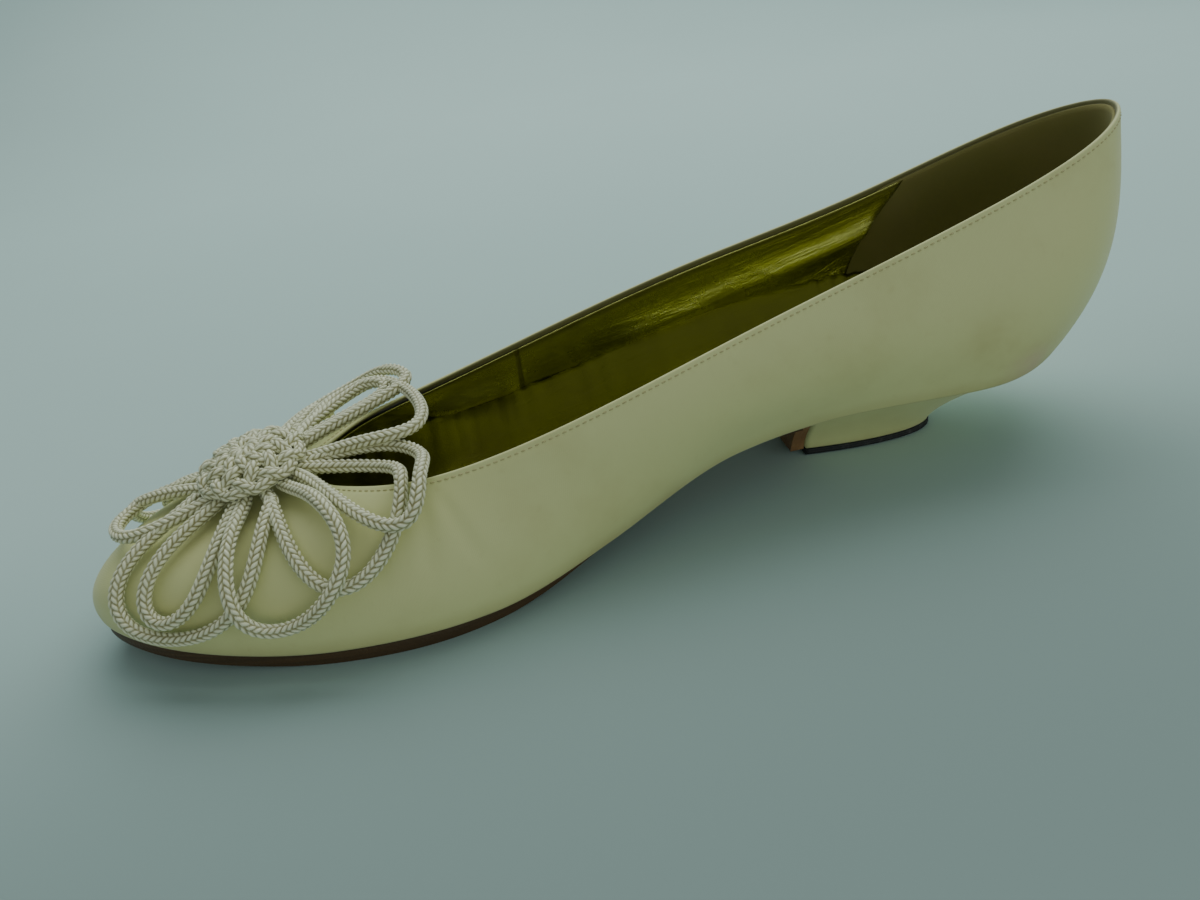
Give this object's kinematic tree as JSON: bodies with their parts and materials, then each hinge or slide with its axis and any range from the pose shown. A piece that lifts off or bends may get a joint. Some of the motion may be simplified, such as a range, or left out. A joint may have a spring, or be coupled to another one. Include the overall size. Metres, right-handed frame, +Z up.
{
  "type": "low-heeled court shoe",
  "caption": "Low-heeled right court shoe: hollow satin upper open at the topline, insole, leather sole, covered heel with a lift and a braided cord flower at the throat.",
  "frame": {"origin": "on the floor, under the middle of the shoe's length and width", "axes": "+X to the toe, +Y to the wearer's left, which is the inner side of this right shoe, +Z up"},
  "size_m": [0.2449, 0.0809, 0.0715],
  "materials": {
    "satin": "ivory satin with a soft sheen",
    "gold_sock": "gold metallic leather",
    "sole_leather": "dark brown sole leather",
    "heel_cover": "ivory satin with a soft sheen",
    "lift_rubber": "matt black",
    "braided_cord": "braided ivory cord"
  },
  "bodies": {
    "root": {"upper": "satin", "insole": "gold_sock", "outsole": "sole_leather", "heel_block": "heel_cover", "heel_lift": "lift_rubber", "cord_flower": "braided_cord"}
  },
  "joints": []
}
